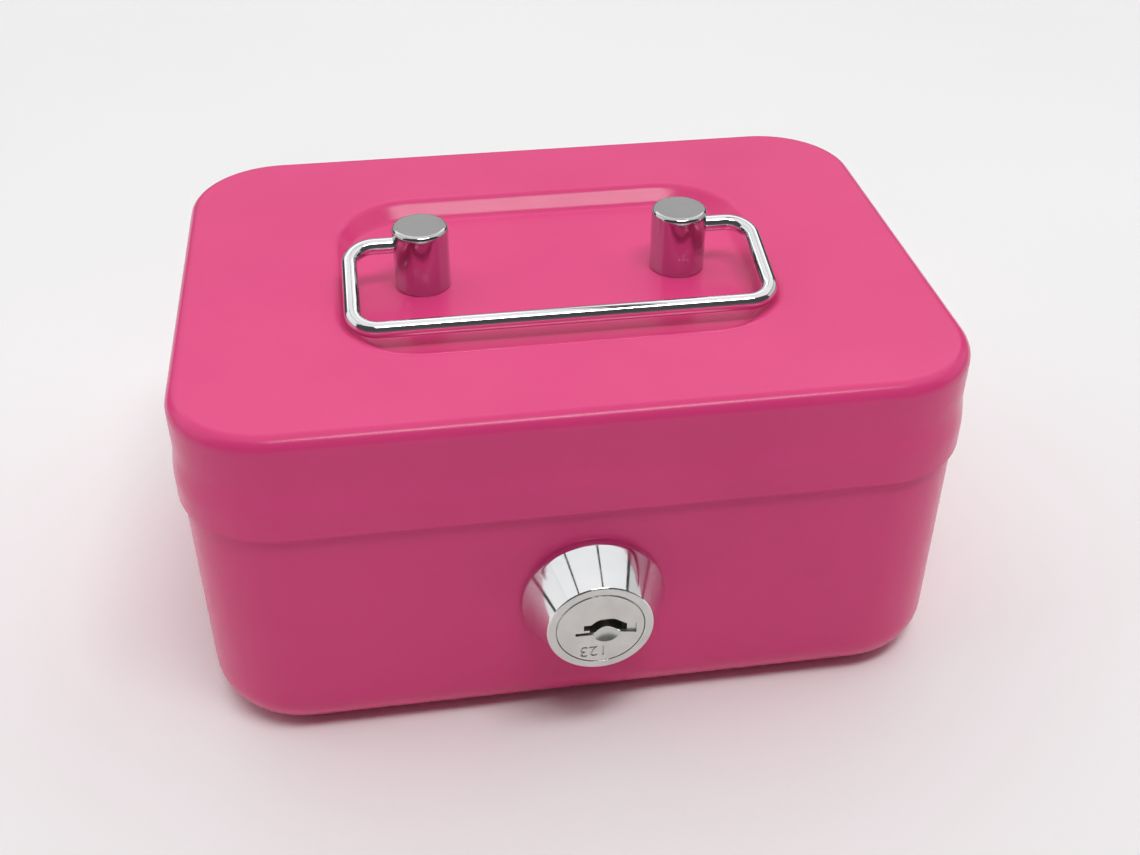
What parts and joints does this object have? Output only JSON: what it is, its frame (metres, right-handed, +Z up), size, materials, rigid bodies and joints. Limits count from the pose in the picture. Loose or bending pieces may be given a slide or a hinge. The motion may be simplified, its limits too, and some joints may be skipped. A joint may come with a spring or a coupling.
{
  "type": "cash box",
  "caption": "Small pressed-steel cash box with a hinged lid, a folding wire handle on posts, a key lock with cam and catch, and a lift-out coin tray.",
  "frame": {"origin": "middle of the flat base, on the table", "axes": "+X to the right seen from the lock, +Y towards the hinge, +Z up"},
  "size_m": [0.125, 0.1024, 0.0682],
  "materials": {
    "paint": "semi-gloss",
    "chrome": "polished",
    "lock_face": "satin",
    "zinc": "satin",
    "brass": "satin",
    "spring": "satin",
    "tray": "matte"
  },
  "bodies": {
    "box": {"box_body": "paint", "lock_housing": "chrome", "lock_washer": "zinc", "lock_nut": "zinc", "hinge_body_leaf": "paint", "hinge_pin": "zinc", "body_leaf_rivets": "zinc"},
    "lid": {"lid_shell": "paint", "lid_strike": "zinc", "hinge_lid_leaf": "paint", "lid_leaf_rivets": "zinc", "handle_post_left": "chrome", "handle_post_right": "chrome", "post_washers": "zinc", "post_screws": "zinc"},
    "handle": {"handle_bail": "chrome"},
    "plug": {"lock_plug": "lock_face", "wafer_springs": "spring", "stop_washer": "zinc", "lock_cam": "zinc", "cam_washer": "zinc", "cam_screw": "zinc"},
    "tray": {"coin_tray": "tray"},
    "wafer_a": {"lock_wafer_1": "brass"},
    "wafer_b": {"lock_wafer_2": "brass"},
    "wafer_c": {"lock_wafer_3": "brass"},
    "wafer_d": {"lock_wafer_4": "brass"}
  },
  "joints": [
    {"name": "lid_hinge", "type": "hinge", "parent": "box", "child": "lid", "pos_m": [0, 0.0474, 0.04035], "axis": [-1, 0, 0], "range_deg": [0, 105]},
    {"name": "handle_swing", "type": "hinge", "parent": "lid", "child": "handle", "pos_m": [0, 0, 0.0649], "axis": [-1, 0, 0], "range_deg": [0, 154]},
    {"name": "plug_turn", "type": "hinge", "parent": "box", "child": "plug", "pos_m": [0, -0.04545, 0.025], "axis": [0, -1, 0], "range_deg": [0, 90]},
    {"name": "tray_lift", "type": "slide", "parent": "box", "child": "tray", "axis": [0, 0, 1], "range_m": [0, 0.005]},
    {"name": "wafer_a_slide", "type": "slide", "parent": "plug", "child": "wafer_a", "axis": [1, 0, 0], "range_m": [0, 0.0006], "stiffness_N_per_m": 20, "springref_m": 0.001},
    {"name": "wafer_b_slide", "type": "slide", "parent": "plug", "child": "wafer_b", "axis": [1, 0, 0], "range_m": [0, 0.0006], "stiffness_N_per_m": 20, "springref_m": 0.001},
    {"name": "wafer_c_slide", "type": "slide", "parent": "plug", "child": "wafer_c", "axis": [1, 0, 0], "range_m": [0, 0.0006], "stiffness_N_per_m": 20, "springref_m": 0.001},
    {"name": "wafer_d_slide", "type": "slide", "parent": "plug", "child": "wafer_d", "axis": [1, 0, 0], "range_m": [0, 0.0006], "stiffness_N_per_m": 20, "springref_m": 0.001}
  ]
}
